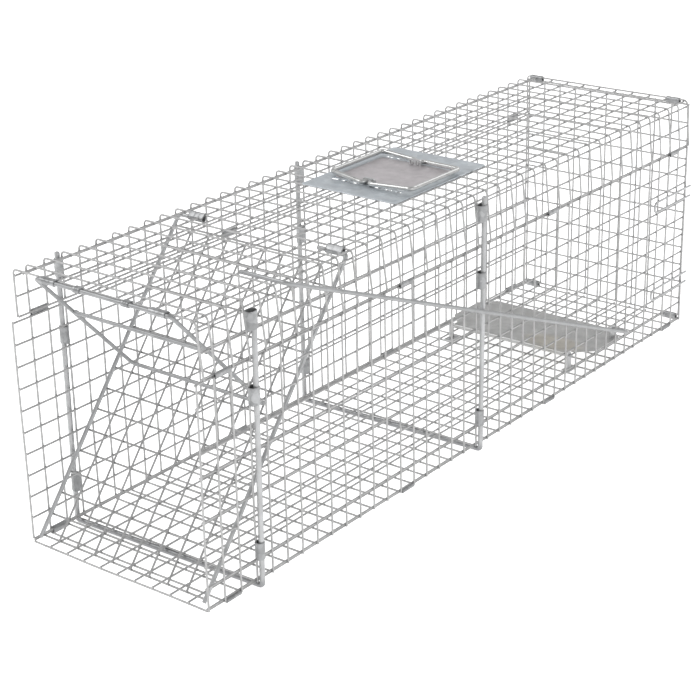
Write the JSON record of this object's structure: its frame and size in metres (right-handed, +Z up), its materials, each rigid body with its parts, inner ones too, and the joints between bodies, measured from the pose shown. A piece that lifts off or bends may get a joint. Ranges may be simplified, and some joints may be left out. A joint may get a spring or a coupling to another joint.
{
  "type": "live catch trap",
  "caption": "Long welded-mesh live catch trap with a sloping gravity door, lock bail, treadle, trigger rod, roof guard plate and folding carrying handle.",
  "frame": {"origin": "on the ground, under the middle of the overall size", "axes": "+X towards the side with the trigger rod, +Y towards the closed rear end, +Z up; the door is at -Y"},
  "size_m": [0.2802, 1.001, 0.3331],
  "materials": {
    "mesh_wire": "galvanised, satin",
    "frame_rod": "galvanised, satin",
    "lock_rod": "galvanised, satin",
    "handle_rod": "galvanised, satin",
    "trigger_rod": "galvanised, satin",
    "sleeve_sheet": "galvanised, satin",
    "guard_sheet": "galvanised, satin",
    "treadle_sheet": "galvanised, satin",
    "axle_steel": "galvanised, satin"
  },
  "bodies": {
    "cage": {"floor_mesh": "mesh_wire", "roof_mesh": "mesh_wire", "left_side_mesh": "mesh_wire", "right_side_mesh": "mesh_wire", "rear_mesh": "mesh_wire", "front_frame": "frame_rod", "mid_frame": "frame_rod", "right_skirt_seam_sleeves": "sleeve_sheet", "left_skirt_seam_sleeves": "sleeve_sheet", "right_floor_seam_sleeves": "sleeve_sheet", "left_floor_seam_sleeves": "sleeve_sheet", "front_post_sleeves": "sleeve_sheet", "mid_post_sleeves": "sleeve_sheet", "rear_roof_sleeves": "sleeve_sheet", "rear_floor_sleeves": "sleeve_sheet", "rear_retaining_hooks": "frame_rod", "door_hinge_sleeves": "sleeve_sheet", "lock_hinge_sleeves": "sleeve_sheet", "guard_plate": "guard_sheet", "handle_knuckles": "guard_sheet", "treadle_brackets": "treadle_sheet"},
    "door": {"door_frame": "frame_rod", "door_mesh": "mesh_wire"},
    "lock_bail": {"lock_loop": "lock_rod", "lock_crossbar": "lock_rod"},
    "left_handle": {"left_handle": "handle_rod"},
    "right_handle": {"right_handle": "handle_rod"},
    "treadle": {"treadle_plate": "treadle_sheet", "treadle_axle": "axle_steel", "treadle_lug": "treadle_sheet"},
    "trigger_rod": {"trigger_rod": "trigger_rod"}
  },
  "joints": [
    {"name": "door_hinge", "type": "hinge", "parent": "cage", "child": "door", "pos_m": [-0.002, -0.24875, 0.3186], "axis": [-1, 0, 0], "range_deg": [0, 47]},
    {"name": "lock_hinge", "type": "hinge", "parent": "cage", "child": "lock_bail", "pos_m": [0.001, -0.49555, 0.322], "axis": [-1, 0, 0], "range_deg": [0, 225.6]},
    {"name": "left_handle_hinge", "type": "hinge", "parent": "cage", "child": "left_handle", "pos_m": [-0.0042, -0.00785, 0.3284], "axis": [0, 1, 0], "range_deg": [0, 88]},
    {"name": "right_handle_hinge", "type": "hinge", "parent": "cage", "child": "right_handle", "pos_m": [0.0042, -0.00785, 0.3284], "axis": [0, -1, 0], "range_deg": [0, 88]},
    {"name": "treadle_hinge", "type": "hinge", "parent": "cage", "child": "treadle", "pos_m": [0.0025, 0.24565, 0.0291], "axis": [1, 0, 0], "range_deg": [0, 7]},
    {"name": "trigger_rod_pivot", "type": "hinge", "parent": "treadle", "child": "trigger_rod", "pos_m": [0.114, 0.32815, 0.0435], "axis": [1, 0, 0], "range_deg": [-6.2, 0]}
  ],
  "couplings": [
    {"joint": "lock_hinge", "follows": "door_hinge", "ratio": 4.8},
    {"joint": "trigger_rod_pivot", "follows": "treadle_hinge", "ratio": -0.8845}
  ]
}
